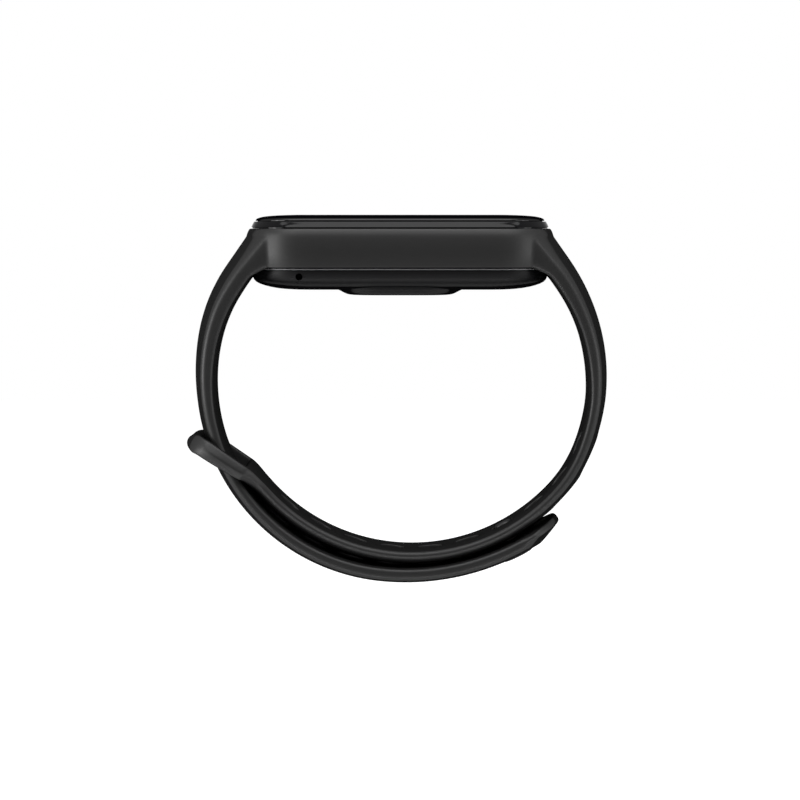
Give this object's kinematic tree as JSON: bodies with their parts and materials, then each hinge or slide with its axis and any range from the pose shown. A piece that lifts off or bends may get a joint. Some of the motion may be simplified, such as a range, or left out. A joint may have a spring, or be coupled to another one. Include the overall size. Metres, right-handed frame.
{
  "type": "fitness tracker band",
  "caption": "Wrist-worn fitness tracker with a stadium-shaped sensor capsule in a closed silicone band with a keeper loop and a push-through stud fastening.",
  "frame": {"origin": "centre of the wrist opening, in the middle of the band's width", "axes": "+X along the capsule from the stud strap's side to the hole strap's side, +Y along the forearm across the band, +Z out through the display"},
  "size_m": [0.0661, 0.0206, 0.0581],
  "materials": {
    "silicone_black": "matte moulded silicone",
    "glass_black": "polished, printed black on the back",
    "bezel_gloss": "polished",
    "case_satin": "fine satin",
    "stud_plastic": "smooth",
    "window_tint": "polished tinted polycarbonate",
    "contact_metal": "fine turned",
    "adhesive": "matte",
    "film": "smooth",
    "display": "smooth",
    "foam": "matte",
    "tray_steel": "stamped",
    "carrier": "matte",
    "battery_foil": "laminated foil",
    "circuit_board": "solder mask",
    "chip_epoxy": "moulded epoxy",
    "shield_tin": "stamped",
    "flex": "polyimide",
    "led": "clear epoxy",
    "diode": "clear epoxy over silicon",
    "magnet": "nickel plate",
    "motor_steel": "drawn",
    "tungsten": "sintered"
  },
  "bodies": {
    "band": {"strap_frame": "silicone_black", "capsule_grip_lip": "silicone_black", "stud_strap": "silicone_black", "hole_strap": "silicone_black", "strap_loop": "silicone_black"},
    "capsule": {"antenna": "contact_metal", "battery_board": "circuit_board", "battery_cell": "battery_foil", "battery_pad": "foam", "case_seal": "adhesive", "charging_contact_1": "contact_metal", "charging_contact_2": "contact_metal", "cover_glass": "glass_black", "display_connector": "chip_epoxy", "display_flex": "flex", "display_foam": "foam", "display_panel": "display", "display_tray": "tray_steel", "dock_magnet_1": "magnet", "dock_magnet_2": "magnet", "flash_memory": "chip_epoxy", "front_bezel": "bezel_gloss", "glass_seal": "adhesive", "green_led_1": "led", "green_led_2": "led", "green_led_3": "led", "green_led_4": "led", "light_barrier": "carrier", "main_board": "circuit_board", "mic_flex": "flex", "mic_seal": "adhesive", "microphone": "shield_tin", "mid_frame": "carrier", "motion_sensor": "chip_epoxy", "motor_base": "motor_steel", "motor_case": "motor_steel", "motor_magnet": "magnet", "photodiode": "diode", "power_chip": "chip_epoxy", "processor": "chip_epoxy", "radio_shield": "shield_tin", "rear_case": "case_satin", "sensor_board": "circuit_board", "sensor_chip": "chip_epoxy", "sensor_flex": "flex", "sensor_window": "window_tint", "touch_film": "film"},
    "tail_end": {"stud_strap_end": "silicone_black", "fastening_stud": "stud_plastic", "stud_cap": "stud_plastic"},
    "motor_rotor_body": {"motor_rotor": "tungsten"}
  },
  "joints": [
    {"name": "capsule_push_out", "type": "slide", "parent": "band", "child": "capsule", "axis": [0, 0, 1], "range_m": [0, 0.012], "deforming": ["capsule_grip_lip"]},
    {"name": "tail_end_flex", "type": "hinge", "parent": "band", "child": "tail_end", "pos_m": [0.00434, 0, -0.03213], "axis": [0, 1, 0], "range_deg": [0, 40], "stiffness_Nm_per_rad": 0.01, "springref_deg": -5.73},
    {"name": "motor_spin", "type": "hinge", "parent": "capsule", "child": "motor_rotor_body", "pos_m": [0.0168, 0, 0.0194], "axis": [0, 0, 1], "continuous": true}
  ]
}
